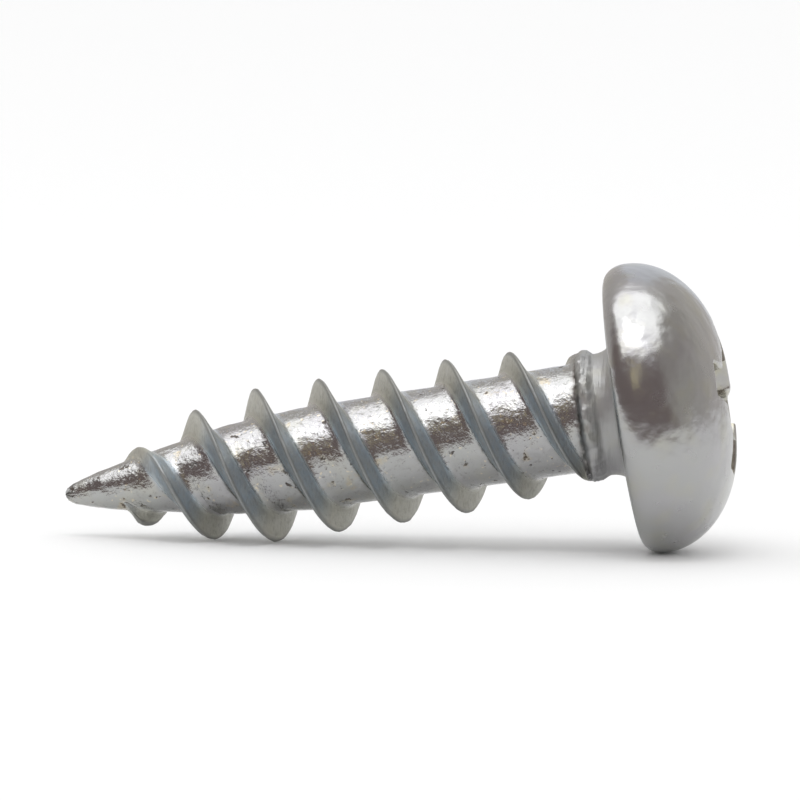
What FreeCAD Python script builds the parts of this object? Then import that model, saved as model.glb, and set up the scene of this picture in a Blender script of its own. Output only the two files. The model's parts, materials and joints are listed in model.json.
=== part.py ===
"""Round head wood screw: twin-start coarse thread, gimlet point and cross recess, in zinc plated steel.

The real screw is one piece. Wire is cold headed to a blank, the recess is punched into its head, and
two flat dies roll the thread, which ends in a ragged collar under the head. It is drawn upright on
its own axis, with the tip at z = 0 and the head on top, and is then laid down as it comes to rest:
on the rim of its head and on a crest of its first turns. Lengths are in mm, angles in degrees.
"""

import FreeCAD, Part
import math
import os

import Sketcher

SIZES = {
    # core of the shank, from the nose to the collar: stations from the tip, and diameters there
    "shank_length": 15.5,
    "nose_length": 0.1,
    "nose_diameter": 0.42,
    "tip_length": 0.55,
    "tip_diameter": 0.82,
    "slender_length": 2.86,
    "slender_diameter": 1.8,
    "belly_length": 4.57,
    "belly_diameter": 2.46,
    "point_length": 6.6,
    "core_front_diameter": 2.81,
    "core_back_diameter": 2.98,
    # collar of metal that the dies push towards the head, and the plain neck behind it
    "collar_diameter": 3.58,
    "collar_width": 0.32,
    "collar_front_run": 0.32,
    "collar_back_run": 0.12,
    "neck_diameter": 3.36,
    "neck_length": 0.78,
    "neck_flare_width": 0.45,
    "neck_flare_length": 0.55,
    # round head
    "head_diameter": 8.0,
    "head_height": 2.95,
    "rim_rounding_width": 0.46,
    "rim_rounding_height": 0.62,
    "crown_flat_diameter": 1.94,
    # thread: one tooth section, which follows a crest that rises, runs level and falls away
    "crest_diameter": 4.25,
    "crest_width": 0.07,
    "flank_angle": 23.0,
    "thread_lead": 3.548,
    "thread_start": 1.2,
    "thread_start_diameter": 1.24,
    "slender_crest_diameter": 2.94,
    "runout_length": 2.34,
    "tooth_bury": 0.05,
    "crest_below_station": 5.59,
    # cross recess
    "recess_diameter": 4.4,
    "recess_depth": 1.95,
    "wing_end_slope": 26.5,
    "wing_mouth_width": 1.0,
    "wing_floor_width": 0.72,
    "well_mouth_diameter": 2.5,
    "well_floor_diameter": 1.3,
    "well_floor_slope": 28.0,
    "recess_turn": 71.0,
    "cutter_overrun": 0.2,
}

THREAD_STARTS = 2
SECTIONS_PER_TURN = 10
RECESS_SLOTS = 2

# places along the screw, from the tip
NECK_FRONT = "(sizes.shank_length - sizes.neck_length)"
COLLAR_BACK = f"({NECK_FRONT} - sizes.collar_back_run)"
COLLAR_FRONT = f"({COLLAR_BACK} - sizes.collar_width)"
CORE_BACK = f"({COLLAR_FRONT} - sizes.collar_front_run)"
THREAD_END = f"({COLLAR_BACK} - sizes.collar_width / 2)"
RUNOUT_START = f"({THREAD_END} - sizes.runout_length)"
UNDER_HEAD = "sizes.shank_length"
WIDEST = "(sizes.shank_length + sizes.rim_rounding_height)"
CROWN = "(sizes.shank_length + sizes.head_height)"


def make_sheet(doc):
    """The spreadsheet with the driving sizes, one row each: name, number."""
    sheet = doc.addObject("Spreadsheet::Sheet", "sizes")
    for row, (name, size) in enumerate(SIZES.items(), start=1):
        sheet.set(f"A{row}", name)
        sheet.set(f"B{row}", str(size))
        sheet.setAlias(f"B{row}", name)
    doc.recompute()
    return sheet


def number(thing, text):
    """What an expression on the sheet is worth, as a plain number."""
    found = thing.evalExpression(text)
    return float(getattr(found, "Value", found))


def new_sketch(body, name, role, turn="0", lift="0"):
    """A sketch on an origin plane, turned about the screw's axis and lifted along it."""
    sketch = body.newObject("Sketcher::SketchObject", name)
    plane = next(feature for feature in body.Origin.OriginFeatures if feature.Role == role)
    sketch.AttachmentSupport = [(plane, "")]
    sketch.MapMode = "FlatFace"
    axis = "vector(0; 1; 0)" if role == "XZ_Plane" else "vector(0; 0; 1)"
    offset = f"placement(vector(0; 0; {lift}); rotation({axis}; {turn}))"
    sketch.setExpression("AttachmentOffset", offset)
    return sketch


class Outline:
    """A closed outline drawn corner by corner, each corner pinned by two expressions."""

    def __init__(self, sketch, *start):
        self.sketch = sketch
        self.corners = [start]
        self.ends = []

    def place(self, corner):
        return FreeCAD.Vector(number(self.sketch, corner[0]), number(self.sketch, corner[1]), 0)

    def pin(self, shape, end, corner):
        for kind, axis, text in (("DistanceX", -2, corner[0]), ("DistanceY", -1, corner[1])):
            if text == "0":
                self.sketch.addConstraint(Sketcher.Constraint("PointOnObject", shape, end, axis))
            else:
                self.size(Sketcher.Constraint(kind, -1, 1, shape, end, number(self.sketch, text)), text)

    def size(self, constraint, text):
        index = self.sketch.addConstraint(constraint)
        self.sketch.setExpression(f"Constraints[{index}]", text)

    def add(self, geometry, corner, forward=True):
        shape = self.sketch.addGeometry(geometry, False)
        self.ends.append((shape, 1, 2) if forward else (shape, 2, 1))
        self.corners.append(corner)
        return shape

    def line(self, *corner):
        start, end = self.place(self.corners[-1]), self.place(corner)
        self.add(Part.LineSegment(start, end), corner)

    def quarter(self, *corner, centre, hollow=False):
        """A quarter of an ellipse, bulging out of the metal, or into it where hollow."""
        middle = self.place(centre)
        start, end = self.place(self.corners[-1]), self.place(corner)
        first, last = (end, start) if hollow else (start, end)
        if (first - middle).Length > (last - middle).Length:
            ellipse = Part.Ellipse(first, last, middle)
            geometry = Part.ArcOfEllipse(ellipse, 0, math.pi / 2)
            long_side = first - middle
        else:
            ellipse = Part.Ellipse(last, middle * 2 - first, middle)
            geometry = Part.ArcOfEllipse(ellipse, -math.pi / 2, 0)
            long_side = last - middle
        shape = self.add(geometry, corner, not hollow)
        self.sketch.exposeInternalGeometry(shape)
        along = "Horizontal" if abs(long_side.x) > abs(long_side.y) else "Vertical"
        self.sketch.addConstraint(Sketcher.Constraint(along, shape + 1))
        self.pin(shape, 3, centre)

    def close(self):
        self.line(*self.corners[0])
        for (shape, start, _), corner in zip(self.ends, self.corners):
            self.pin(shape, start, corner)
        for (shape, _, end), (following, start, _) in zip(self.ends, self.ends[1:] + self.ends[:1]):
            self.sketch.addConstraint(Sketcher.Constraint("Coincident", shape, end, following, start))
        return self.sketch


def centred_rectangle(sketch, length, width):
    """A rectangle about the screw's axis."""
    far = FreeCAD.Vector(number(sketch, length) / 2, number(sketch, width) / 2, 0)
    corners = [FreeCAD.Vector(x * far.x, y * far.y, 0) for x, y in ((-1, -1), (1, -1), (1, 1), (-1, 1))]
    for start, end in zip(corners, corners[1:] + corners[:1]):
        sketch.addGeometry(Part.LineSegment(start, end), False)
    for side in range(4):
        following = (side + 1) % 4
        sketch.addConstraint(Sketcher.Constraint("Coincident", side, 2, following, 1))
        sketch.addConstraint(Sketcher.Constraint("Vertical" if side % 2 else "Horizontal", side))
    sketch.addConstraint(Sketcher.Constraint("Symmetric", 0, 1, 2, 1, -1, 1))
    for side, kind, text in ((0, "DistanceX", length), (1, "DistanceY", width)):
        size = Sketcher.Constraint(kind, side, 1, side, 2, number(sketch, text))
        index = sketch.addConstraint(size)
        sketch.setExpression(f"Constraints[{index}]", text)
    return sketch


def blank(body):
    """The headed blank, as one turned outline: nose, point, core, collar, neck and round head."""
    outline = Outline(new_sketch(body, "blank_outline", "XZ_Plane"), "0", "0")
    outline.line("sizes.nose_diameter / 2", "sizes.nose_length")
    outline.line("sizes.tip_diameter / 2", "sizes.tip_length")
    outline.line("sizes.slender_diameter / 2", "sizes.slender_length")
    outline.line("sizes.belly_diameter / 2", "sizes.belly_length")
    outline.line("sizes.core_front_diameter / 2", "sizes.point_length")
    outline.line("sizes.core_back_diameter / 2", CORE_BACK)
    outline.line("sizes.collar_diameter / 2", COLLAR_FRONT)
    outline.line("sizes.collar_diameter / 2", COLLAR_BACK)
    outline.line("sizes.neck_diameter / 2", NECK_FRONT)

    flare_front = f"{UNDER_HEAD} - sizes.neck_flare_length"
    flare_edge = "sizes.neck_diameter / 2 + sizes.neck_flare_width"
    outline.line("sizes.neck_diameter / 2", flare_front)
    outline.quarter(flare_edge, UNDER_HEAD, centre=(flare_edge, flare_front), hollow=True)

    rim_edge = "sizes.head_diameter / 2 - sizes.rim_rounding_width"
    outline.line(rim_edge, UNDER_HEAD)
    outline.quarter("sizes.head_diameter / 2", WIDEST, centre=(rim_edge, WIDEST))
    crown_edge = "sizes.crown_flat_diameter / 2"
    outline.quarter(crown_edge, CROWN, centre=(crown_edge, WIDEST))
    outline.line("0", CROWN)
    sketch = outline.close()

    turned = body.newObject("PartDesign::Revolution", "blank")
    turned.Profile = sketch
    turned.ReferenceAxis = (sketch, ["V_Axis"])
    turned.Angle = 360
    return turned


def slope_through(station, stops):
    """A size that runs in straight stretches through stops along the screw, each a station and a
    size. It rises ever less steeply from stop to stop, so it is the least of the stretches' lines."""
    lines = []
    for (near, size), (far, other) in zip(stops, stops[1:]):
        lines.append(f"{size} + ({other} - {size}) * ({station} - {near}) / ({far} - {near})")
    return f"min({'; '.join(lines)})"


def crest_radius(station):
    """How far a crest that passes a station stands off the axis."""
    stops = [
        ("sizes.thread_start", "sizes.thread_start_diameter / 2"),
        ("sizes.slender_length", "sizes.slender_crest_diameter / 2"),
        ("sizes.belly_length", "sizes.crest_diameter / 2"),
        (RUNOUT_START, "sizes.crest_diameter / 2"),
        (THREAD_END, "sizes.collar_diameter / 2 - sizes.tooth_bury"),
    ]
    return slope_through(station, stops)


def core_radius(station):
    """How far the core's skin stands off the axis at a station on the thread."""
    stops = [
        ("sizes.tip_length", "sizes.tip_diameter / 2"),
        ("sizes.slender_length", "sizes.slender_diameter / 2"),
        ("sizes.belly_length", "sizes.belly_diameter / 2"),
        ("sizes.point_length", "sizes.core_front_diameter / 2"),
        (CORE_BACK, "sizes.core_back_diameter / 2"),
    ]
    return slope_through(station, stops)


def tooth_section(body, name, station):
    """The thread's tooth where one start passes a station, in the plane through it and the axis."""
    crest = crest_radius(station)
    root = f"({core_radius(station)} - sizes.tooth_bury)"
    half_crest = "sizes.crest_width / 2"
    half_root = f"({half_crest} + ({crest} - {root}) * tan(sizes.flank_angle))"
    turn = f"360 * ({station} - sizes.crest_below_station) / sizes.thread_lead"
    sketch = new_sketch(body, name, "XZ_Plane", turn)
    outline = Outline(sketch, root, f"{station} - {half_root}")
    outline.line(crest, f"{station} - {half_crest}")
    outline.line(crest, f"{station} + {half_crest}")
    outline.line(root, f"{station} + {half_root}")
    return outline.close()


def sloping_thread(body, name, first, last):
    """A stretch of one start whose crest rises or falls: a loft through sections of the tooth that
    climb round the screw in even steps."""
    turns = number(body, f"({last} - {first}) / sizes.thread_lead")
    steps = math.ceil(turns * SECTIONS_PER_TURN)
    sections = []
    for step in range(steps + 1):
        station = f"({first} + ({last} - {first}) * {step} / {steps})"
        sections.append(tooth_section(body, f"{name}_tooth_{step}", station))
    stretch = body.newObject("PartDesign::AdditiveLoft", name)
    stretch.Profile = sections[0]
    stretch.Sections = sections[1:]
    return stretch


def level_thread(body, name, first, last):
    """The stretch of one start at full height: the tooth's section carried along a helix."""
    section = tooth_section(body, f"{name}_tooth", first)
    stretch = body.newObject("PartDesign::AdditiveHelix", name)
    stretch.Profile = section
    stretch.ReferenceAxis = (section, ["V_Axis"])
    stretch.Mode = "pitch-height-angle"
    stretch.setExpression("Pitch", "sizes.thread_lead")
    stretch.setExpression("Height", f"{last} - {first}")
    return stretch


def thread(body):
    """Both starts of the thread: up the point, level along the core, and down into the collar."""
    stretches = [
        sloping_thread(body, "point_thread", "sizes.thread_start", "sizes.belly_length"),
        level_thread(body, "level_thread", "sizes.belly_length", RUNOUT_START),
        sloping_thread(body, "thread_runout", RUNOUT_START, THREAD_END),
    ]
    starts = body.newObject("PartDesign::PolarPattern", "thread_starts")
    starts.Originals = stretches
    starts.Axis = (stretches[0].Profile[0], ["V_Axis"])
    starts.Angle = 360
    starts.Occurrences = THREAD_STARTS
    body.Tip = starts
    return starts


def recess(body):
    """The punched cross: a slot of two tapering wings, made twice, and a well with a conical floor."""
    mouth = f"{CROWN} + sizes.cutter_overrun"
    floor = f"{CROWN} - sizes.recess_depth"
    spread = "2 * tan(sizes.wing_end_slope)"
    splay = "(sizes.wing_mouth_width - sizes.wing_floor_width) / sizes.recess_depth"

    upper = new_sketch(body, "wing_mouth", "XY_Plane", "sizes.recess_turn", mouth)
    centred_rectangle(
        upper,
        f"sizes.recess_diameter + sizes.cutter_overrun * {spread}",
        f"sizes.wing_mouth_width + sizes.cutter_overrun * {splay}",
    )
    lower = new_sketch(body, "wing_floor", "XY_Plane", "sizes.recess_turn", floor)
    centred_rectangle(
        lower, f"sizes.recess_diameter - sizes.recess_depth * {spread}", "sizes.wing_floor_width"
    )
    slot = body.newObject("PartDesign::SubtractiveLoft", "recess_slot")
    slot.Profile = upper
    slot.Sections = [lower]
    slot.Ruled = True

    cross = body.newObject("PartDesign::PolarPattern", "recess_cross")
    cross.Originals = [slot]
    cross.Axis = (upper, ["N_Axis"])
    cross.Angle = 90
    cross.Occurrences = RECESS_SLOTS
    body.Tip = cross

    flare = "(sizes.well_mouth_diameter - sizes.well_floor_diameter) / (2 * sizes.recess_depth)"
    outline = Outline(
        new_sketch(body, "well_outline", "XZ_Plane"),
        "0",
        f"{floor} - sizes.well_floor_diameter / 2 * tan(sizes.well_floor_slope)",
    )
    outline.line("sizes.well_floor_diameter / 2", floor)
    outline.line(f"sizes.well_mouth_diameter / 2 + sizes.cutter_overrun * {flare}", mouth)
    outline.line("0", mouth)
    sketch = outline.close()
    well = body.newObject("PartDesign::Groove", "recess_well")
    well.Profile = sketch
    well.ReferenceAxis = (sketch, ["V_Axis"])
    well.Angle = 360
    return well


def lay_down(body):
    """Lays the screw on its side, its head towards +X, on the floor z = 0.

    The screw tips down on the rim of its head until the first crest touches the floor: the level
    one that passes straight below the axis at crest_below_station, or the one before it, on the
    point. The box of the whole screw is centred on the origin.
    """
    level_crest = "sizes.crest_below_station"
    point_crest = f"({level_crest} - sizes.thread_lead / {THREAD_STARTS})"
    tilts = []
    for crest in (level_crest, point_crest):
        run = number(body, f"{WIDEST} - {crest}")
        drop = number(body, f"sizes.head_diameter / 2 - {crest_radius(crest)}")
        tilts.append(math.degrees(math.atan2(drop, run)))
    tilt = min(tilts)
    lying = FreeCAD.Rotation(FreeCAD.Vector(0, 1, 0), 90 - tilt)
    body.Placement = FreeCAD.Placement(FreeCAD.Vector(), lying)
    box = body.Shape.optimalBoundingBox(False)
    centre = FreeCAD.Vector(-box.Center.x, -box.Center.y, -box.ZMin)
    body.Placement = FreeCAD.Placement(centre, lying)
    return tilt


def check(doc, body):
    """Stops the build if any object failed or the screw isn't one sound solid."""
    for thing in doc.Objects:
        if "Invalid" in thing.State or "Error" in thing.State:
            raise RuntimeError(f"{thing.Name} failed: {thing.State}")
    shape = body.Shape
    if shape.isNull() or not shape.isValid():
        raise RuntimeError(f"{body.Label} has no valid shape")
    if len(shape.Solids) != 1:
        raise RuntimeError(f"{body.Label} came out as {len(shape.Solids)} solids")


def main():
    doc = FreeCAD.newDocument("round_head_wood_screw")
    make_sheet(doc)
    body = doc.addObject("PartDesign::Body", "screw")
    body.Label = "screw"
    doc.recompute()
    for make in (blank, thread, recess):
        feature = make(body)
        doc.recompute()
        print(f"{feature.Name}: {body.Shape.Volume:.3f} mm3, {len(body.Shape.Faces)} faces")
    tilt = lay_down(body)
    check(doc, body)
    os.makedirs("parts", exist_ok=True)
    body.Shape.exportStep(f"parts/{body.Label}.step")
    box = body.Shape.optimalBoundingBox(False)
    print(f"rest tilt {tilt:.2f} degrees, box {box.XLength:.3f} x {box.YLength:.3f} x {box.ZLength:.3f} mm")


main()
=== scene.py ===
"""A round head wood screw of bright zinc plated steel on a white table in soft studio light."""

import json
import math

import bmesh
import bpy
import numpy as np
from bpy.props import FloatProperty, FloatVectorProperty, PointerProperty
from mathutils import Matrix, Vector, noise


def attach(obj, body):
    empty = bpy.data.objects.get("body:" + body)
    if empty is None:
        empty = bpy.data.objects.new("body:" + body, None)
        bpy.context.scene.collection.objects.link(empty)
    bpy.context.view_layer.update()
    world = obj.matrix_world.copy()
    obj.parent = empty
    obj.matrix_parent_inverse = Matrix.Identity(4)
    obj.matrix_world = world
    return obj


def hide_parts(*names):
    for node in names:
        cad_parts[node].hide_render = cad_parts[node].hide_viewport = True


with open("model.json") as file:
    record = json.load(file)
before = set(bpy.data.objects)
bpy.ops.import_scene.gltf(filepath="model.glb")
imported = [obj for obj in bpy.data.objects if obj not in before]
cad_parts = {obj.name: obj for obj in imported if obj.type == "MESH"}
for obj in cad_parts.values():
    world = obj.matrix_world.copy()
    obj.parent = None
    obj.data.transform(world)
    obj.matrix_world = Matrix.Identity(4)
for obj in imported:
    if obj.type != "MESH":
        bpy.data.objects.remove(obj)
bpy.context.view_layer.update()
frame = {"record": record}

bl_info = {
    "name": "Round head wood screw",
    "version": (1, 0, 0),
    "blender": (4, 5, 0),
    "location": "3D View > Sidebar > Wood screw",
    "description": "Models a short round head wood screw with a twin-start thread, and its studio",
    "category": "Add Mesh",
}

MM = 0.001
PER_MM = 1000

# The thread's mount stands at the screw's tip and points away from the head.
MOUNTS = {mount["name"]: mount for mount in frame["record"]["mounts"]}
TIP = Vector(MOUNTS["wood_thread"]["pos_m"])
TOWARDS_HEAD = -Vector(MOUNTS["wood_thread"]["axis"])

# The studio, in metres: what the camera looks at, the table, the light tent with the spots on its
# cloth where a lamp shines and where the roof panel is shaded, the dim floor in front of the screw
# and the softbox.
CAMERA_AIM = (-0.000077, -0.000005, 0.004004)
TABLE_SIZE = 6
TENT_RADIUS = 2.5
LAMP_SPOT = (-0.13, -2.16, 1.25)
SHADE_SPOTS = ((-0.11, -0.48, 2.45), (0.9, -1.2, 2.0))
DIM_FLOOR_WIDTH, DIM_FLOOR_DEPTH = 1.6, 1.0
DIM_FLOOR_GAP, DIM_FLOOR_HEIGHT = 0.0147, 0.0005
SOFTBOX_PLACE = (-0.02, -0.1, 0.28)
SOFTBOX_WIDTH, SOFTBOX_DEPTH = 0.14, 0.06


def length(name, description, default):
    """A length in millimetres, kept in metres."""
    return FloatProperty(
        name=name,
        description=description,
        default=default * MM,
        unit="LENGTH",
        subtype="DISTANCE",
        precision=6,
    )


def degrees(name, description, default):
    """An angle in degrees, kept in radians."""
    return FloatProperty(
        name=name, description=description, default=math.radians(default), subtype="ANGLE"
    )


def colour(name, description, *default):
    """A colour from its red, green and blue."""
    return FloatVectorProperty(
        name=name, description=description, default=default, size=3, min=0, max=1, subtype="COLOR"
    )


class ShankSizes(bpy.types.PropertyGroup):
    crest: length("Crest diameter", "Diameter over the thread's crests", 4.25)
    lead: length("Lead", "How far one turn of either start climbs", 3.548)
    crest_station: length("Crest station", "Where a crest lies straight below, from the tip", 5.59)
    runout_start: length("Run-out start", "Where the crests begin to fall towards the collar", 12.1)
    thread_end: length("Thread end", "Where the thread meets the collar, from the tip", 14.2)
    collar: length("Collar diameter", "Diameter of the ragged collar of pushed-up metal", 3.6)
    neck: length("Neck diameter", "Diameter of the plain neck under the head", 3.36)


class HeadSizes(bpy.types.PropertyGroup):
    underside: length("Underside", "Station of the head's flat underside, from the tip", 15.5)
    diameter: length("Diameter", "Diameter of the round head", 8.0)
    height: length("Height", "Height of the round head", 2.95)
    rim_width: length("Rim width", "How far the rim's rounding reaches in", 0.46)
    rim_height: length("Rim height", "How far the rim's rounding reaches up", 0.62)
    crown_flat: length("Crown flat", "Diameter of the flat at the top of the dome", 1.94)


class RecessSizes(bpy.types.PropertyGroup):
    across: length("Across wings", "Size of the cross recess at the crown", 4.4)
    depth: length("Depth", "Depth of the wings' floor under the crown", 1.95)
    wing_mouth: length("Wing at mouth", "Width of a wing at the mouth", 1.0)
    wing_floor: length("Wing at floor", "Width of a wing at its floor", 0.72)
    well_mouth: length("Well at mouth", "Diameter of the middle well at the mouth", 2.5)
    well_floor: length("Well at floor", "Diameter of the middle well at its floor", 1.3)
    edge: length("Edge rounding", "Rounding along the punched edges", 0.05)
    turn: degrees("Turn", "Turn of the cross about the screw's axis", 71)


class Finish(bpy.types.PropertyGroup):
    zinc: colour("Zinc", "Bright zinc plating", 0.415, 0.42, 0.41)
    lilac: colour("Lilac", "Faint lilac cast of the passivated plating", 0.405, 0.395, 0.415)
    straw: colour("Straw", "Faint yellow cast of the passivated plating", 0.43, 0.425, 0.38)
    # The teeth are beige above and below and bluish where they face front and back: partly the
    # plating's cast, partly painted reflection.
    beige: colour("Beige", "Dull plating on the teeth, above and below", 0.43, 0.425, 0.37)
    slate_side_reflection: colour("Slate", "Bluish plating on the teeth, at the sides", 0.34, 0.40, 0.45)
    # Painted shade: the crests are coloured darker so that they catch no bright highlight.
    crest: colour("Crest", "Dull rolled crests of the thread", 0.25, 0.25, 0.24)
    # Painted reflection: golden patches on the core, standing in for golden specks of reflected
    # lamp light.
    painted_gold_reflection: colour("Gold", "Small golden stains in the rolled metal", 0.5, 0.42, 0.27)
    brass: colour("Brass", "Yellower plating in the punched recess", 0.46, 0.445, 0.37)
    # Painted highlight: pale golden glints on the core, standing in for reflections of the warm
    # lamp.
    painted_glint: colour("Glint", "Pale golden glints in the rolled metal", 0.8, 0.7, 0.5)
    # Also darkens the groove at the collar and mottles on the teeth's sides.
    dirt: colour("Dirt", "Dark oily dirt in pits and grooves", 0.10, 0.08, 0.065)


class Studio(bpy.types.PropertyGroup):
    table: colour("Table", "White table under the screw", 0.98, 0.98, 0.98)
    left: colour("Left cloth", "Glow of the light tent's cloth on the left", 0.62, 0.59, 0.575)
    right: colour("Right cloth", "Glow of the light tent's cloth on the right", 0.53, 0.51, 0.485)
    back: colour("Back cloth", "Glow of the light tent's cloth behind the screw", 0.66, 0.63, 0.60)
    strip: colour("Light strip", "Glow of an upright strip behind the screw", 0.88, 0.91, 0.96)
    room: colour("Dark room", "Glow of the dim room in front of the tent", 0.25, 0.205, 0.20)
    lamp: colour("Warm lamp", "Glow of a small warm lamp in the dim room", 1.0, 0.9, 0.55)
    haze: colour("Haze", "Glow of the shaded parts of the tent's roof panel", 0.66, 0.63, 0.74)
    window: FloatProperty(
        name="Window", description="Glow of the bright panel in the tent's roof", default=2.4, min=0
    )
    daylight: FloatProperty(
        name="Daylight", description="Strength of the white daylight all round", default=0.95, min=0
    )
    softbox: FloatProperty(
        name="Softbox", description="Power of the softbox above", default=0.1, min=0, unit="POWER"
    )
    elevation: degrees("Elevation", "Height of the camera over the horizon", 5)
    azimuth: degrees("Azimuth", "Turn of the camera towards the head", 4.16)
    roll: degrees("Roll", "Turn of the camera about its view", 1.1)
    distance: length("Distance", "From the camera to the screw", 300)
    view_width: length("View width", "Width of the picture at the screw", 21.96)


# Points of the skin round the screw.
COLUMNS = 240

# Half of a tooth and the core beside it, row by row from the crest: how far from the crest each row
# lies along the screw, in millimetres, and its share of the tooth's height.
ROW_OFFSETS = (0, 0.02, 0.04, 0.06, 0.09, 0.126, 0.162, 0.2, 0.243, 0.295, 0.365, 0.48, 0.67, 0.887)
ROW_HEIGHTS = (1, 0.99, 0.962, 0.905, 0.775, 0.61, 0.45, 0.3, 0.165, 0.066, 0.014, 0, 0, 0)
# Rows that belong to the tooth; the rest share out the core up to the next one.
TOOTH_ROWS = 11
# A tooth's full height, and the height up to which a growing tooth also gets wider.
FULL_TOOTH = 0.7
WIDE_TOOTH = 0.42
# Rows this close to the thread's end are moved onto it.
NEAR_END = 0.015

# What follows is read off straight stretches between stops, each a station from the tip and a size,
# in millimetres. First the core's radius and the crests' radius up to the level thread.
NOSE = -0.06
CORE = (
    (NOSE, 0.0),
    (-0.04, 0.09),
    (0.02, 0.165),
    (0.2, 0.27),
    (0.55, 0.38),
    (1.0, 0.505),
    (1.6, 0.64),
    (2.86, 0.9),
    (4.57, 1.23),
    (6.6, 1.405),
    (13.9, 1.49),
    (16, 1.5),
)
CREST = (
    (0, 0.0),
    (1.55, 0.6),
    (1.9, 1.03),
    (2.4, 1.13),
    (2.86, 1.42),
    (3.8, 1.8),
    (4.2, 1.93),
    (4.75, 2.125),
)
# How late the first crests come, and how much wider than the others their teeth are.
LATE = ((2.0, 0.08), (3.4, 0.0))
WIDE_START = ((2.0, 1.4), (3.8, 1.12), (5.0, 1.0))
# How far the point's underside sags, and how much higher the teeth are below than above.
SAG = ((NOSE, 0.0), (0.1, 0.03), (2.0, 0.045), (3.2, 0.0))
HEAVY_BELOW = ((2.0, 0.08), (4.6, 0.0), (11.8, 0.0), (12.75, -0.05), (13.6, 0.0))

# The flared fillet under the head.
FLARE_WIDTH, FLARE_HEIGHT = 0.45, 0.55
# The radius at which the collar's raggedness is read, and how far past its end the thread goes on
# under the collar.
RAGGED_RADIUS = 1.7
RUNOUT_OVERLAP = 0.4
# The recess: slope of the wings' ends, rounding of their corners, slope of the well's floor, width
# of the rings along the floor's edge, and the points of an eighth of the outline where a wing's
# end, its corner and its side are done.
END_SLOPE = math.radians(26.5)
CORNER = 0.13
FLOOR_SLOPE = math.radians(28)
FLOOR_EDGE = 0.06
END_DONE, CORNER_DONE, SIDE_DONE = 4, 9, 23
# Two faces that meet at more than this angle show a sharp edge.
SHARP_EDGE = math.radians(42)


def through(stops, station):
    """A size read off straight stretches between stops, each a station and a size."""
    return np.interp(station, *zip(*stops))


def rise(value, over):
    """Share of the way from 0 to a value, held between 0 and 1."""
    return np.clip(value / over, 0, 1)


def grain(x, y, z, scale, octaves=3):
    """Soft unevenness about 0 at a point in millimetres; scale is features per millimetre."""
    return noise.fractal(Vector((x, y, z)) * scale, 1.0, 2.0, octaves)


def collar_lean(below):
    """How far the collar is pushed towards the head; below is 1 right below the axis, -1 above."""
    return 0.1 - 0.03 * below


def start_piece(name):
    """An empty mesh object, alone in the selection."""
    bpy.ops.object.select_all(action="DESELECT")
    piece = bpy.data.objects.new(name, bpy.data.meshes.new(name))
    bpy.context.scene.collection.objects.link(piece)
    piece.select_set(True)
    bpy.context.view_layer.objects.active = piece
    return piece


def move_points(mesh, move):
    """Moves every point of a mesh; move takes and gives an array of points."""
    points = np.empty(len(mesh.vertices) * 3)
    mesh.vertices.foreach_get("co", points)
    mesh.vertices.foreach_set("co", np.asarray(move(points.reshape(-1, 3)), dtype=float).ravel())
    mesh.update()


class Shank:
    """Places on the threaded shank, in millimetres from the tip and about the screw's axis."""

    def __init__(self, sizes):
        self.lead = sizes.lead / MM
        self.pitch = self.lead / 2
        self.phase = sizes.crest_station / MM
        self.end = sizes.thread_end / MM
        self.collar = sizes.collar / MM / 2
        self.neck = sizes.neck / MM / 2
        full = (sizes.runout_start / MM, sizes.crest / MM / 2)
        self.crests = (*CREST, full, (self.end + 0.15, self.collar - 0.02))

    def tooth(self, station):
        """The tooth whose crest is at a station: its height, and its share of the full width."""
        height = np.maximum(through(self.crests, station) - through(CORE, station), 0)
        return height, np.clip(height / WIDE_TOOTH, 0.3, 1) * through(WIDE_START, station)

    def row(self, crest_station, offset, share):
        """Radius and station of a row of the tooth, or of the core beside it."""
        height, width = self.tooth(crest_station)
        last = ROW_OFFSETS[TOOTH_ROWS - 1]
        half_pitch = self.pitch / 2
        side = np.abs(offset)
        near = np.minimum(side, last) * width
        rest = np.maximum(side - last, 0) / (half_pitch - last) * (half_pitch - last * width)
        station = crest_station + np.sign(offset) * (near + rest)
        return through(CORE, station) + height * share, station

    def radius_at(self, turn, station):
        """Radius of the shank at a share of a turn and a station."""
        half_pitch = self.pitch / 2
        offset = (station - self.phase - self.lead * turn + half_pitch) % self.pitch - half_pitch
        height, width = self.tooth(station - offset)
        share = np.interp(np.abs(offset) / width, ROW_OFFSETS, ROW_HEIGHTS)
        return through(CORE, station) + height * share


def sweep_thread(shank):
    """The shank's skin with both starts of the thread: a path one lead long, swept round the axis.

    Gives the skin, the station where the path starts and the steps in the path.
    """
    rows = 4 * (len(ROW_OFFSETS) - 1)
    step = shank.lead / rows
    first = shank.phase - 3 * shank.lead
    turns = math.ceil((shank.end - first) / shank.lead)
    thread = start_piece("thread")
    bpy.ops.object.mode_set(mode="EDIT")
    path = bmesh.from_edit_mesh(thread.data)
    path.verts.new((2, 0, first)).select_set(True)
    bmesh.update_edit_mesh(thread.data)
    for _ in range(rows):
        bpy.ops.mesh.extrude_region_move(TRANSFORM_OT_translate={"value": (0, 0, step)})
    bpy.ops.object.mode_set(mode="OBJECT")
    sweep = thread.modifiers.new("sweep", "SCREW")
    sweep.axis = "Z"
    sweep.angle = math.tau * turns
    sweep.screw_offset = shank.lead * turns
    sweep.steps = sweep.render_steps = COLUMNS * turns
    sweep.use_merge_vertices = False
    sweep.use_smooth_shade = True
    bpy.ops.object.modifier_apply(modifier=sweep.name)
    return thread, first, rows


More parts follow.
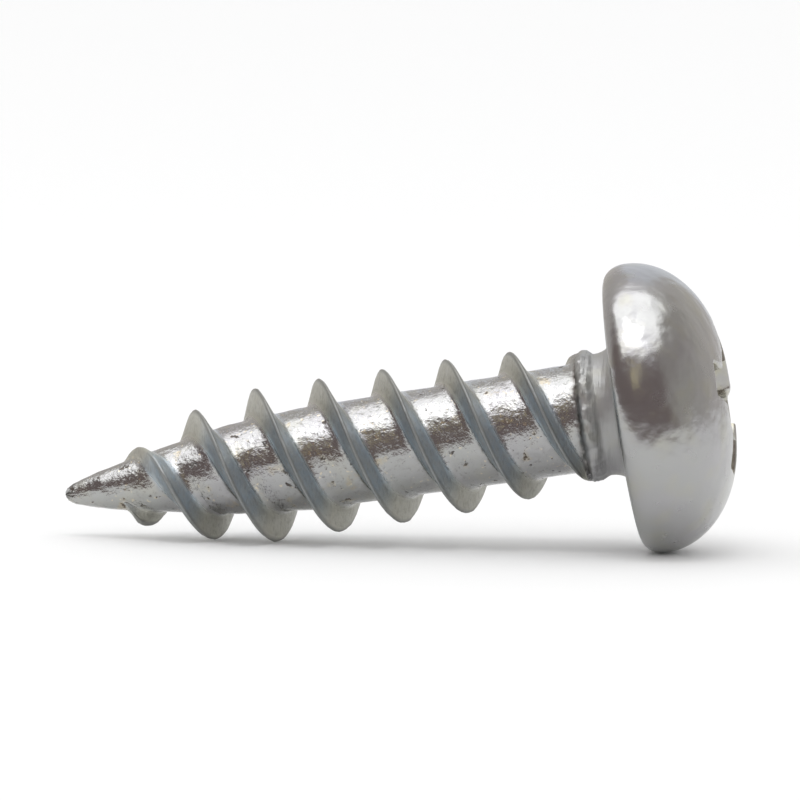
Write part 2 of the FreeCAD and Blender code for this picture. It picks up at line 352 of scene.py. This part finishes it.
def roll_thread(thread, shank, first, rows):
    """Gives the swept skin its rolled teeth, the gimlet point and the end under the collar."""
    count = rows + 1
    half = len(ROW_OFFSETS) - 1

    def shape(points):
        index = np.arange(len(points))
        turn, row = index // count / COLUMNS, index % count
        expected = first + shank.lead * turn + row * shank.lead / rows
        if np.abs(points[:, 2] - expected).max() > 1e-3:
            raise RuntimeError("The thread's sweep ran in another order")
        tooth = (row + half) // (2 * half)
        place = row - tooth * 2 * half
        offset = np.sign(place) * np.take(ROW_OFFSETS, np.abs(place))
        share = np.take(ROW_HEIGHTS, np.abs(place))
        crest_station = first + shank.lead * turn + tooth * shank.pitch
        crest_station += through(LATE, crest_station)
        radius, station = shank.row(crest_station, offset, share)
        angle = math.tau * (turn % 1)
        begun = rise(shank.tooth(crest_station)[0], 0.2)
        radius += begun * share * through(HEAVY_BELOW, crest_station) * np.cos(angle)
        radius += through(SAG, station) * np.clip(np.cos(angle), 0, 1)
        past = station > shank.end - NEAR_END
        radius = np.where(past, shank.radius_at(turn % 1, shank.end), radius)
        station = np.where(past, shank.end, station)
        before = station < NOSE
        radius = np.where(before, 0, radius)
        station = np.where(before, NOSE, station)
        return np.stack([radius * np.cos(angle), radius * np.sin(angle), station], axis=1)

    move_points(thread.data, shape)
    bpy.ops.object.mode_set(mode="EDIT")
    bpy.ops.mesh.select_all(action="SELECT")
    bpy.ops.mesh.remove_doubles(threshold=2e-5)
    bpy.ops.mesh.dissolve_degenerate(threshold=1e-5)
    bpy.ops.object.mode_set(mode="OBJECT")


def roughen_thread(thread, shank):
    """Small unevenness of rolled metal: wavy crests and a lumpy core."""

    def shape(points):
        radius = np.hypot(points[:, 0], points[:, 1])
        station = points[:, 2]
        raised = rise(radius - through(CORE, station), FULL_TOOTH)
        inside = rise(shank.end - station, 0.2) * rise(station, 0.3)
        for i, (x, y, z) in enumerate(points):
            if inside[i] == 0 or radius[i] == 0:
                continue
            swell = 0.012 * grain(x, y, z, 1.3) + 0.006 * grain(x, y, z, 5)
            if raised[i] > 0.9:
                swell += 0.014 * grain(x, y, z + 9, 2.6)
            points[i, :2] *= 1 + swell * inside[i] / max(radius[i], 0.5)
        return points

    move_points(thread.data, shape)


def head_rings(shank, head):
    """The outline from the end of the thread to the dome, ring by ring.

    Each ring is its radius, its station, how ragged it is outwards and along the screw, and its
    share of the collar's lean.
    """
    under = head.underside / MM
    radius = head.diameter / MM / 2
    rim_width, rim_height = head.rim_width / MM, head.rim_height / MM
    crown_flat = head.crown_flat / MM / 2
    dome_width, dome_height = radius - crown_flat, head.height / MM - rim_height
    collar, neck = shank.collar, shank.neck
    rings = [
        (1.50, shank.end + 0.03, 0.02, 0.0, 0.1),
        (1.51, shank.end + 0.07, 0.04, 0.02, 0.3),
        (1.54, shank.end + 0.11, 0.06, 0.04, 0.6),
        (collar - 0.12, shank.end + 0.15, 0.07, 0.05, 0.9),
        (collar - 0.03, shank.end + 0.2, 0.08, 0.05, 1.0),
        (collar, shank.end + 0.27, 0.07, 0.04, 1.0),
        (collar - 0.01, shank.end + 0.34, 0.06, 0.04, 1.0),
        (collar - 0.03, shank.end + 0.42, 0.05, 0.04, 0.9),
        (collar - 0.06, shank.end + 0.5, 0.03, 0.03, 0.7),
        (collar - 0.09, shank.end + 0.58, 0.015, 0.02, 0.5),
        (neck + 0.01, shank.end + 0.66, 0.01, 0.0, 0.2),
        (neck, shank.end + 0.73, 0.005, 0.0, 0.0),
    ]

    def quarter(steps, whole):
        """Cosine and sine at each step of a quarter turn that takes a whole number of steps."""
        for step in steps:
            a = math.pi / 2 * step / whole
            yield math.cos(a), math.sin(a)

    flat, edge, widest = neck + FLARE_WIDTH, radius - rim_width, under + rim_height
    smooth = []
    for c, s in quarter(range(9), 8):
        smooth.append((neck + FLARE_WIDTH * (1 - c), under - FLARE_HEIGHT * (1 - s)))
    for share in (0.06, 0.35, 0.7, 0.94):
        smooth.append((flat + (edge - flat) * share, under))
    for c, s in quarter(range(11), 10):
        smooth.append((edge + rim_width * s, under + rim_height * (1 - c)))
    # The dome goes on up to where the recess takes over.
    for c, s in quarter(range(1, 37), 60):
        smooth.append((crown_flat + dome_width * c, widest + dome_height * s))
    return rings + [(*ring, 0, 0, 0) for ring in smooth]


class Recess:
    """The punched cross: its outline at any depth, point by point round the screw."""

    def __init__(self, recess, head):
        self.crown = (head.underside + head.height) / MM
        self.half_across = recess.across / MM / 2
        self.depth = recess.depth / MM
        self.wing = recess.wing_mouth / MM / 2, recess.wing_floor / MM / 2
        self.well = recess.well_mouth / MM / 2, recess.well_floor / MM / 2
        self.edge = recess.edge / MM
        self.turn = recess.turn
        radius = head.diameter / MM / 2
        self.flat = head.crown_flat / MM / 2
        self.under = head.underside / MM
        self.widest = (head.underside + head.rim_height) / MM
        self.dome = radius - self.flat, (head.height - head.rim_height) / MM

    def dome_at(self, radius):
        """Station of the dome's surface at a radius."""
        across = np.clip((radius - self.flat) / self.dome[0], 0, 1)
        return self.widest + self.dome[1] * np.sqrt(1 - across**2)

    def outline(self, depth, grow=0.0):
        """The cross at a depth under the crown, from the middle of a wing's end on."""
        depth = np.broadcast_to(depth, COLUMNS)
        share = depth / self.depth
        end = self.half_across - depth * math.tan(END_SLOPE) + grow
        wing = self.wing[0] + (self.wing[1] - self.wing[0]) * share + grow
        well = self.well[0] + (self.well[1] - self.well[0]) * share + grow
        points = np.empty((COLUMNS, 2))
        quarter = COLUMNS // 4
        eighth = quarter // 2
        corner = CORNER + grow
        for i in range(COLUMNS):
            wing_number, place = divmod(i + eighth, quarter)
            place -= eighth
            side, k = (1 if place >= 0 else -1), abs(place)
            if k <= END_DONE:
                x, y = end[i], (wing[i] - corner) * k / END_DONE
            elif k <= CORNER_DONE:
                a = math.pi / 2 * (k - END_DONE) / (CORNER_DONE - END_DONE)
                x, y = end[i] - corner * (1 - math.cos(a)), wing[i] - corner * (1 - math.sin(a))
            elif k <= SIDE_DONE:
                meet = math.sqrt(max(well[i] ** 2 - wing[i] ** 2, 0))
                t = (k - CORNER_DONE) / (SIDE_DONE - CORNER_DONE)
                x, y = (end[i] - corner) * (1 - t) + meet * t, wing[i]
            else:
                start = math.asin(min(wing[i] / well[i], 1))
                a = start + (math.pi / 4 - start) * (k - SIDE_DONE) / (eighth - SIDE_DONE)
                x, y = well[i] * math.cos(a), well[i] * math.sin(a)
            a = math.tau * wing_number / 4
            y *= side
            points[i] = x * math.cos(a) - y * math.sin(a), x * math.sin(a) + y * math.cos(a)
        return points

    def mouth(self, grow=0.0):
        """The cross where it breaks through the dome, found in a few tries from the crown down."""
        depth = np.zeros(COLUMNS)
        for _ in range(6):
            points = self.outline(depth, grow)
            depth = self.crown - self.dome_at(np.hypot(points[:, 0], points[:, 1]))
        return points


def turned(points, turn):
    """Flat points, turned about the screw's axis."""
    c, s = math.cos(turn), math.sin(turn)
    x, y = points.T
    return np.stack([x * c - y * s, x * s + y * c], axis=1)


def add_ring(head, places):
    """Extrudes the selected open edge to a new ring of points."""
    bpy.ops.mesh.extrude_region_move()
    edit = bmesh.from_edit_mesh(head.data)
    ring = [point for point in edit.verts if point.select]
    if len(ring) != COLUMNS:
        raise RuntimeError(f"A ring of the head has {len(ring)} points")
    order = edit.verts.layers.int["column"]
    for point in ring:
        others = (edge.other_vert(point) for edge in point.link_edges)
        point[order] = next(other for other in others if not other.select)[order]
        point.co = places[point[order]]
    bmesh.update_edit_mesh(head.data)


def start_head(shank):
    """A ring of points on the end of the thread, each of which knows its column round the screw."""
    bpy.ops.object.select_all(action="DESELECT")
    bpy.ops.mesh.primitive_circle_add(vertices=COLUMNS, radius=1.5, location=(0, 0, 0))
    head = bpy.context.object
    head.name = "head"
    bpy.ops.object.mode_set(mode="EDIT")
    edit = bmesh.from_edit_mesh(head.data)
    order = edit.verts.layers.int.new("column")
    for point in edit.verts:
        column = round(math.atan2(point.co.y, point.co.x) / math.tau * COLUMNS) % COLUMNS
        point[order] = column
        a = column * math.tau / COLUMNS
        r = shank.radius_at(column / COLUMNS, shank.end)
        point.co = (r * math.cos(a), r * math.sin(a), shank.end)
    bmesh.update_edit_mesh(head.data)
    bpy.ops.mesh.select_all(action="SELECT")
    return head


def turn_head(shank, sizes, recess):
    """Collar, neck, round head and recess, drawn ring by ring from the end of the thread."""
    head = start_head(shank)
    angles = np.arange(COLUMNS) * math.tau / COLUMNS
    for radius, station, ragged, jagged, lean in head_rings(shank, sizes):
        places = []
        for column, a in enumerate(angles):
            x, y = math.cos(a), math.sin(a)
            spot = x * RAGGED_RADIUS, y * RAGGED_RADIUS
            rough = grain(*spot, station, 3.2, 4) + 0.4 * grain(*spot, station, 9, 2)
            r = radius + ragged * rough
            z = station + jagged * grain(*spot, station * 0.3 + 5, 3.0) + lean * collar_lean(x)
            if station < shank.end + RUNOUT_OVERLAP:
                r = max(r, shank.radius_at(column / COLUMNS, station))
            places.append((r * x, r * y, z))
        add_ring(head, places)
    punch_recess(head, recess, places)
    bpy.ops.mesh.select_all(action="SELECT")
    bpy.ops.mesh.remove_doubles(threshold=1e-5)
    bpy.ops.object.mode_set(mode="OBJECT")
    return head


def punch_recess(head, recess, last):
    """Goes on from the dome's last ring, over the punched edge and down to the recess's middle."""
    shift = round(recess.turn / math.tau * COLUMNS)
    circle = np.array([last[(i + shift) % COLUMNS][:2] for i in range(COLUMNS)])

    def ring(points, stations):
        stations = np.broadcast_to(stations, COLUMNS)
        placed = [None] * COLUMNS
        for i in range(COLUMNS):
            placed[(i + shift) % COLUMNS] = (points[i, 0], points[i, 1], stations[i])
        add_ring(head, placed)

    def on_dome(points):
        return recess.dome_at(np.hypot(points[:, 0], points[:, 1]))

    edge = recess.edge
    outer = turned(recess.mouth(edge * 1.6), recess.turn)
    for share in (0.12, 0.25, 0.4, 0.55, 0.7, 0.82, 0.92, 1.0):
        points = circle * (1 - share) + outer * share
        ring(points, on_dome(points))
    for out, down in ((0.8, 0.08), (0.25, 0.4)):
        lip = turned(recess.mouth(edge * out), recess.turn)
        ring(lip, on_dome(lip) - edge * down)

    # Down the walls, as depths under the crown.
    top = recess.crown - on_dome(recess.mouth())
    low = top + edge * 2
    walls = [low * (1 - share) + recess.depth * share for share in (0.3, 0.6, 0.9, 0.97)]
    for depth in (top + edge, low, *walls):
        ring(turned(recess.outline(depth), recess.turn), recess.crown - depth)

    # Across the floor of the wings and down the well.
    floor = recess.crown - recess.depth
    ring(turned(recess.outline(recess.depth, -FLOOR_EDGE / 2), recess.turn), floor)
    inner = recess.outline(recess.depth, -FLOOR_EDGE)
    angles = np.arange(COLUMNS) * math.tau / COLUMNS
    well = recess.well[1] - FLOOR_EDGE
    around = np.stack([well * np.cos(angles), well * np.sin(angles)], axis=1)
    for share in (0.5, 1.0):
        ring(turned(inner * (1 - share) + around * share, recess.turn), floor - 0.02 * share)
    drop = recess.well[1] * math.tan(FLOOR_SLOPE)
    for share in (0.6, 0.25, 0.0):
        ring(turned(around * share, recess.turn), floor - drop * (1 - share))


def place_screw(screw):
    """Takes the finished mesh from millimetres on its own axis to where the screw lies."""
    lay = Vector((0, 0, 1)).rotation_difference(TOWARDS_HEAD).to_matrix().to_4x4()
    screw.data.transform(Matrix.Translation(TIP) @ lay @ Matrix.Scale(MM, 4))
    screw.data.update()


class Socket:
    """A value in a material, with the sums that Python writes on it."""

    def __init__(self, paint, socket):
        self.paint, self.socket = paint, socket

    def sum(self, operation, *others):
        return self.paint.node("ShaderNodeMath", {"operation": operation}, *others)

    def __add__(self, other):
        return self.sum("ADD", self, other)

    def __radd__(self, other):
        return self.sum("ADD", other, self)

    def __sub__(self, other):
        return self.sum("SUBTRACT", self, other)

    def __rsub__(self, other):
        return self.sum("SUBTRACT", other, self)

    def __mul__(self, other):
        return self.sum("MULTIPLY", self, other)

    def __rmul__(self, other):
        return self.sum("MULTIPLY", other, self)

    def __truediv__(self, other):
        return self.sum("DIVIDE", self, other)

    def __rtruediv__(self, other):
        return self.sum("DIVIDE", other, self)


# How deep the full range of a finish's unevenness goes.
BUMP_DEPTH = 0.04 * MM
# Where a Mix node set to colours has its factor, its two colours and its result.
MIX_COLOUR_SOCKETS = (0, 6, 7)
MIX_COLOUR_RESULT = 2


class Paint:
    """A material being mixed."""

    def __init__(self, name):
        self.material = bpy.data.materials.new(name)
        self.material.use_nodes = True
        self.nodes = self.material.node_tree.nodes
        self.links = self.material.node_tree.links
        self.shader = self.nodes["Principled BSDF"]

    def node(self, kind, settings, *values, out=0, **named):
        """Adds a node: settings first, then what goes into its sockets, in order or by name."""
        made = self.nodes.new(kind)
        for name, value in settings.items():
            setattr(made, name, value)
        for place, value in [*enumerate(values), *named.items()]:
            self.put(made.inputs[place], value)
        return Socket(self, made.outputs[out])

    def put(self, socket, value):
        """Links or sets a socket; a colour of three numbers gets the fourth that the socket has."""
        if isinstance(value, Socket):
            self.links.new(value.socket, socket)
        elif socket.type == "RGBA":
            socket.default_value = (*value, 1)
        else:
            socket.default_value = value

    def feed(self, **named):
        """Puts what the shader's sockets get; a name is written with _ for each space."""
        for name, value in named.items():
            self.put(self.shader.inputs[name.replace("_", " ")], value)

    def mix(self, share, one, other):
        """A colour between two."""
        made = self.nodes.new("ShaderNodeMix")
        made.data_type = "RGBA"
        for place, value in zip(MIX_COLOUR_SOCKETS, (share, one, other)):
            self.put(made.inputs[place], value)
        return Socket(self, made.outputs[MIX_COLOUR_RESULT])

    def cloud(self, place, scale, detail=3.0, rough=0.5):
        """Soft noise about one half."""
        sizes = {"Scale": scale, "Detail": detail, "Roughness": rough}
        return self.node("ShaderNodeTexNoise", {"noise_dimensions": "3D"}, place, **sizes)

    def between(self, value, low, high, bottom=0.0, top=1.0, kind="LINEAR"):
        """Bottom up to a low value, top from a high one on, and a rise or a fall between them."""
        settings = {"interpolation_type": kind}
        return self.node("ShaderNodeMapRange", settings, value, low, high, bottom, top)


def zinc_finish(finish):
    """Bright zinc plating: cloudy on the head, pitted on the core, dull on the teeth; painted
    reflection turns the teeth's sides bluish, painted shade darkens their crests, and painted
    highlights put golden specks on the core.
    """
    paint = Paint("zinc plated steel")
    between = paint.between
    place = paint.node("ShaderNodeTexCoord", {}, out="Object")
    tilt = math.asin(TOWARDS_HEAD.z)

    def stretched(along, round_it):
        """Places along and round the lying screw, in features per millimetre."""
        scale = (along * PER_MM, round_it * PER_MM, round_it * PER_MM)
        return paint.node("ShaderNodeMapping", {}, place, Rotation=(0, tilt, 0), Scale=scale)

    def cloud(*sizes, on=stretched(1, 1)):
        return paint.cloud(on, *sizes)

    def mark(name):
        return paint.node("ShaderNodeAttribute", {"attribute_name": name}, out="Fac")

    hoops = stretched(3.2, 1)
    turning = stretched(7, 0.5)
    raised, core, groove, neck, sideways, punched = (
        mark(name) for name in ("raised", "core", "groove", "neck", "sideways", "punched")
    )
    side = between(raised, 0.06, 0.25) * between(raised, 0.82, 0.97, 1.0, 0.0)
    crest = between(raised, 0.84, 0.97)
    tooth = between(raised, 0.02, 0.12)
    mottle = between(cloud(3.5, 4.0, 0.65), 0.38, 0.62)

    # Colour: the plating's casts, the teeth with painted reflection and shade, the punched recess,
    # then painted golden highlights, pits, specks and darker marks.
    zinc = paint.mix(between(cloud(0.5), 0.35, 0.7, 0.0, 0.7), finish.zinc, finish.lilac)
    zinc = paint.mix(between(cloud(1.3), 0.52, 0.72, 0.0, 0.7), zinc, finish.straw)
    # Painted reflection: golden patches on the core, standing in for golden specks of reflected
    # lamp light.
    zinc = paint.mix(between(cloud(1.7, 3.0, 0.6), 0.6, 0.7, 0.0, 0.5) * core, zinc, finish.painted_gold_reflection)
    # Painted reflection: the teeth turn bluish where they face front and back, by which way they
    # face.
    bluish = between(sideways, 0.25, 0.75) * (0.7 + 0.3 * mottle)
    flank = paint.mix(bluish, finish.beige, finish.slate_side_reflection)
    zinc = paint.mix(tooth * (0.8 + 0.2 * mottle), zinc, flank)
    # Painted shade: the crests are coloured darker so that they catch no bright highlight.
    zinc = paint.mix(crest * 0.8, zinc, finish.crest)
    blotches = cloud(3.0)
    zinc = paint.mix(punched * between(blotches, 0.35, 0.6, 0.3, 1.0), zinc, finish.brass)
    # Painted highlight: pale golden glints on the core, standing in for reflections of the warm
    # lamp.
    glints = between(cloud(7.0, 2.0), 0.66, 0.72) * core * 0.5
    zinc = paint.mix(glints, zinc, finish.painted_glint)
    pits = between(cloud(3.4, 3.0, 0.6), 0.65, 0.7) * core
    specks = between(cloud(8.0, 3.0, 0.6), 0.58, 0.72) * core * 0.3
    # Darker mottles on the teeth's sides.
    dark_side_mottles = between(cloud(6.0, 4.0, 0.7, on=hoops), 0.48, 0.7) * side * 0.35
    # Darker along the groove at the collar.
    darker_groove = groove * between(blotches, 0.35, 0.6, 0.35, 1.0)
    settings = {"operation": "MAXIMUM", "use_clamp": True}
    dark = paint.node("ShaderNodeMath", settings, pits + specks + dark_side_mottles, darker_groove)

    # Unevenness: the head's long soft waves, the rolled core, the streaked neck, the teeth's sides.
    smooth = cloud(1.1, 2.0) * 1.5 + cloud(3.2) * 0.25 + cloud(11.0, 2.0) * 0.03
    rolled = cloud(5.0, 4.0, 0.62) * 0.8 + cloud(1.6, 2.0) * 0.8
    streaks = cloud(1.0, 4.0, 0.6, on=turning) * 0.9
    on_side = cloud(5.0, 4.0, 0.65) * 0.4 + cloud(4.0, 3.0, 0.6, on=hoops) * 0.2
    height = smooth * (1 - core) * (1 - side) + rolled * core + streaks * neck + on_side * side
    height = height - 0.5 * dark

    rough = 0.18 + 0.14 * cloud(2.2) + 0.17 * side + 0.24 * (crest + neck) - 0.09 * core
    paint.feed(
        Base_Color=paint.mix(dark * 0.85, zinc, finish.dirt),
        Metallic=1 - 0.3 * tooth - 0.2 * neck,
        Roughness=rough + 0.3 * dark,
        Normal=paint.node("ShaderNodeBump", {}, Strength=1.0, Distance=BUMP_DEPTH, Height=height),
    )
    return paint.material


def note_places(screw, shank, recess):
    """Marks on each point what the finish reads there.

    That is how far up a tooth it lies, how far it faces to the side, which the finish uses for a
    painted reflection, and whether it belongs to the core, the groove at the collar that the finish
    darkens, the neck or the punched recess.
    """
    points = np.empty(len(screw.data.vertices) * 3)
    screw.data.vertices.foreach_get("co", points)
    points = points.reshape(-1, 3)
    station = points[:, 2]
    away = np.hypot(points[:, 0], points[:, 1])
    below, sideways = (points[:, axis] / np.maximum(away, 0.1) for axis in (0, 1))
    over = away - through(CORE, station) - through(SAG, station) * np.clip(below, 0, 1)
    tall = np.maximum(through(shank.crests, station) - through(CORE, station), 0.12)
    wormed = rise(shank.end + 0.1 - station, 0.15)
    past_collar = station - shank.end - collar_lean(below)
    in_mouth = (station > recess.widest) * (away < recess.half_across + 0.1)
    marks = {
        "raised": rise(over, tall) * wormed * rise(station - 1.4, 0.4),
        "core": rise(0.12 - over, 0.12) * wormed,
        "groove": np.exp(-(((past_collar - 0.05) / 0.06) ** 2)) * (over < 0.16),
        "neck": rise(past_collar - 0.1, 0.1) * (station < recess.under + 0.02),
        "sideways": sideways**2,
        "punched": rise(recess.dome_at(away) - station, 0.06) * in_mouth,
    }
    for name, values in marks.items():
        made = screw.data.attributes.new(name, "FLOAT", "POINT")
        made.data.foreach_set("value", values.astype(float))


class OBJECT_OT_wood_screw(bpy.types.Operator):
    """Model the screw, from its gimlet point to the cross recess in its head"""

    bl_idname = "object.wood_screw"
    bl_label = "Round head screw"

    def execute(self, context):
        scene = context.scene
        shank = Shank(scene.screw_shank)
        thread, first, rows = sweep_thread(shank)
        roll_thread(thread, shank, first, rows)
        roughen_thread(thread, shank)
        recess = Recess(scene.screw_recess, scene.screw_head)
        head = turn_head(shank, scene.screw_head, recess)

        bpy.ops.object.select_all(action="DESELECT")
        head.select_set(True)
        thread.select_set(True)
        context.view_layer.objects.active = thread
        bpy.ops.object.join()
        screw = context.object
        screw.name = "zinc_screw"
        bpy.ops.object.mode_set(mode="EDIT")
        bpy.ops.mesh.select_all(action="SELECT")
        bpy.ops.mesh.remove_doubles(threshold=1e-4)
        bpy.ops.mesh.normals_make_consistent(inside=False)
        bpy.ops.object.mode_set(mode="OBJECT")
        note_places(screw, shank, recess)
        bpy.ops.object.shade_smooth_by_angle(angle=SHARP_EDGE)
        screw.data.materials.clear()
        screw.data.materials.append(zinc_finish(scene.screw_finish))
        place_screw(screw)
        faces, loose = len(screw.data.polygons), loose_edges(screw.data)
        print(f"{screw.name}: {faces} faces, {loose} edges that aren't shared by two faces")
        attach(screw, "root")
        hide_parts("screw")
        return {"FINISHED"}


def loose_edges(mesh):
    """How many edges aren't shared by just two faces."""
    edit = bmesh.new()
    edit.from_mesh(mesh)
    count = sum(len(edge.link_faces) != 2 for edge in edit.edges)
    edit.free()
    return count


def plain(name, shade):
    """A matt material of one colour."""
    paint = Paint(name)
    paint.feed(Base_Color=shade, Roughness=0.8, Specular_IOR_Level=0.1)
    return paint.material


def glowing(name):
    """A material that only glows: its paint, whose Emission Color is still to be fed."""
    paint = Paint(name)
    paint.feed(Base_Color=(0, 0, 0), Specular_IOR_Level=0, Emission_Strength=1)
    return paint


def for_reflections(made, name, material):
    """Makes a shape part of the studio that only the metal's reflections show."""
    made.name = name
    made.data.materials.append(material)
    made.visible_camera = False
    made.visible_diffuse = False
    made.visible_shadow = False


def tent_cloth(studio):
    """The tent's cloth, lighter behind and on the left, with a roof panel and a dim opening."""
    paint = glowing("tent cloth")
    place = paint.node("ShaderNodeTexCoord", {}, out="Object")
    x, y, z = (paint.node("ShaderNodeSeparateXYZ", {}, place, out=axis) for axis in ("X", "Y", "Z"))

    def edge(*sizes):
        return paint.between(*sizes, kind="SMOOTHSTEP")

    def patch(value, start, full, fall, end):
        """1 between two soft edges, 0 outside them."""
        return edge(value, start, full) * edge(value, fall, end, 1.0, 0.0)

    # Cloth from left to right and behind, with an upright light strip.
    cloth = paint.mix(edge(x, -1.2, 1.2), studio.left, studio.right)
    cloth = paint.mix(edge(y, 0.2, 1.6), cloth, studio.back)
    cloth = paint.mix(edge(y, 1.0, 1.7) * patch(x, -0.5, -0.2, 0.35, 0.7), cloth, studio.strip)

    # The opening towards the dim room, by the angle round from the front.
    azimuth = paint.node("ShaderNodeMath", {"operation": "ARCTAN2"}, x, y * -1)
    room = patch(azimuth, -1.9, -1.5, 0.8, 1.15) * edge(z, 1.45, 1.95, 1.0, 0.0)
    cloth = paint.mix(room, cloth, studio.room)

    # The roof, by how far across and ahead it lies for its height: dusk on the right and the panel.
    above = edge(z, 0.3, 0.5)
    across, ahead = x / z, (y * -1) / z
    dusk = patch(across, 0.6, 0.75, 1.5, 2.1) * edge(ahead, -1.2, -0.7) * above
    cloth = paint.mix(dusk * 0.3, cloth, studio.room)
    panel = patch(across, -1.0, -0.8, 0.52, 0.66) * patch(ahead, -0.5, -0.4, 0.75, 0.95) * above
    near_lamp, near_gap, near_corner = (
        paint.node("ShaderNodeVectorMath", {"operation": "DISTANCE"}, place, spot, out="Value")
        for spot in (LAMP_SPOT, *SHADE_SPOTS)
    )
    shade = edge(paint.cloud(place, 2.0, 3.0, 0.6), 0.38, 0.48, 0.5, 0.0)
    shade = shade + edge(near_gap, 0.15, 0.5, 0.95, 0.0) + edge(near_corner, 0.2, 0.75, 0.8, 0.0)
    shade = paint.node("ShaderNodeMath", {"operation": "MINIMUM"}, shade, 1.0)
    window = (studio.window, studio.window, studio.window)
    cloth = paint.mix(panel, cloth, paint.mix(shade, window, studio.haze))

    # The warm lamp in the dim room.
    cloth = paint.mix(edge(near_lamp, 0.12, 0.42, 1.0, 0.0), cloth, studio.lamp)
    paint.feed(Emission_Color=cloth)
    return paint.material


def aim_camera(studio):
    """The camera stands at the head's side, a little above the table."""
    e, a = studio.elevation, studio.azimuth
    back = Vector((math.sin(a) * math.cos(e), -math.cos(a) * math.cos(e), math.sin(e)))
    lens = bpy.data.cameras.new("camera")
    camera = bpy.data.objects.new("camera", lens)
    bpy.context.scene.collection.objects.link(camera)
    lens.sensor_width = 36
    lens.lens = lens.sensor_width * studio.distance / studio.view_width
    lens.clip_start, lens.clip_end = 0.005, 20
    camera.rotation_mode = "QUATERNION"
    look = (-back).to_track_quat("-Z", "Y").to_matrix()
    look = look @ Matrix.Rotation(studio.roll, 3, "Z")
    camera.rotation_quaternion = look.to_quaternion()
    camera.location = Vector(CAMERA_AIM) + back * studio.distance
    bpy.context.scene.camera = camera


class SCENE_OT_screw_studio(bpy.types.Operator):
    """Set up the camera, the table, the light tent, the daylight and the softbox"""

    bl_idname = "scene.screw_studio"
    bl_label = "Studio"

    def execute(self, context):
        studio = context.scene.screw_studio
        aim_camera(studio)
        bpy.ops.object.select_all(action="DESELECT")
        bpy.ops.mesh.primitive_plane_add(size=TABLE_SIZE, location=(0, 0, 0))
        table = context.object
        table.name = "table"
        table.data.materials.append(plain("white table", studio.table))
        bpy.ops.object.select_all(action="DESELECT")
        bpy.ops.mesh.primitive_uv_sphere_add(segments=64, ring_count=32, radius=TENT_RADIUS)
        for_reflections(context.object, "light_tent", tent_cloth(studio))
        bpy.ops.object.select_all(action="DESELECT")
        middle = -DIM_FLOOR_GAP - DIM_FLOOR_DEPTH / 2
        bpy.ops.mesh.primitive_plane_add(size=1, location=(0, middle, DIM_FLOOR_HEIGHT))
        context.object.scale = (DIM_FLOOR_WIDTH, DIM_FLOOR_DEPTH, 1)
        dim = glowing("dim floor")
        dim.feed(Emission_Color=studio.room)
        for_reflections(context.object, "dim_floor", dim.material)

        world = bpy.data.worlds.new("daylight room")
        context.scene.world = world
        world.use_nodes = True
        daylight = world.node_tree.nodes["Background"].inputs
        daylight["Color"].default_value = (1, 1, 1, 1)
        daylight["Strength"].default_value = studio.daylight

        light = bpy.data.lights.new("softbox", "AREA")
        light.shape = "RECTANGLE"
        light.size, light.size_y = SOFTBOX_WIDTH, SOFTBOX_DEPTH
        light.energy = studio.softbox
        softbox = bpy.data.objects.new("softbox", light)
        softbox.location = SOFTBOX_PLACE
        softbox.rotation_euler = (-softbox.location).to_track_quat("-Z", "Y").to_euler()
        context.scene.collection.objects.link(softbox)
        context.scene.view_settings.view_transform = "Standard"
        return {"FINISHED"}


class VIEW3D_PT_wood_screw(bpy.types.Panel):
    """The screw's pieces and sizes"""

    bl_label = "Wood screw"
    bl_space_type = "VIEW_3D"
    bl_region_type = "UI"
    bl_category = "Wood screw"

    def draw(self, context):
        scene = context.scene
        self.list_sizes(scene.screw_shank, scene.screw_head, scene.screw_recess, scene.screw_finish)
        self.layout.operator(OBJECT_OT_wood_screw.bl_idname)
        self.list_sizes(scene.screw_studio)
        self.layout.operator(SCENE_OT_screw_studio.bl_idname)

    def list_sizes(self, *groups):
        for group in groups:
            for name in type(group).__annotations__:
                self.layout.prop(group, name)


GROUPS = {
    "screw_shank": ShankSizes,
    "screw_head": HeadSizes,
    "screw_recess": RecessSizes,
    "screw_finish": Finish,
    "screw_studio": Studio,
}
CLASSES = (*GROUPS.values(), OBJECT_OT_wood_screw, SCENE_OT_screw_studio, VIEW3D_PT_wood_screw)


def register():
    for cls in CLASSES:
        bpy.utils.register_class(cls)
    for name, cls in GROUPS.items():
        setattr(bpy.types.Scene, name, PointerProperty(type=cls))


def unregister():
    for name in GROUPS:
        delattr(bpy.types.Scene, name)
    for cls in reversed(CLASSES):
        bpy.utils.unregister_class(cls)


def main():
    register()
    bpy.ops.object.wood_screw()
    bpy.ops.scene.screw_studio()


if __name__ == "__main__":
    main()
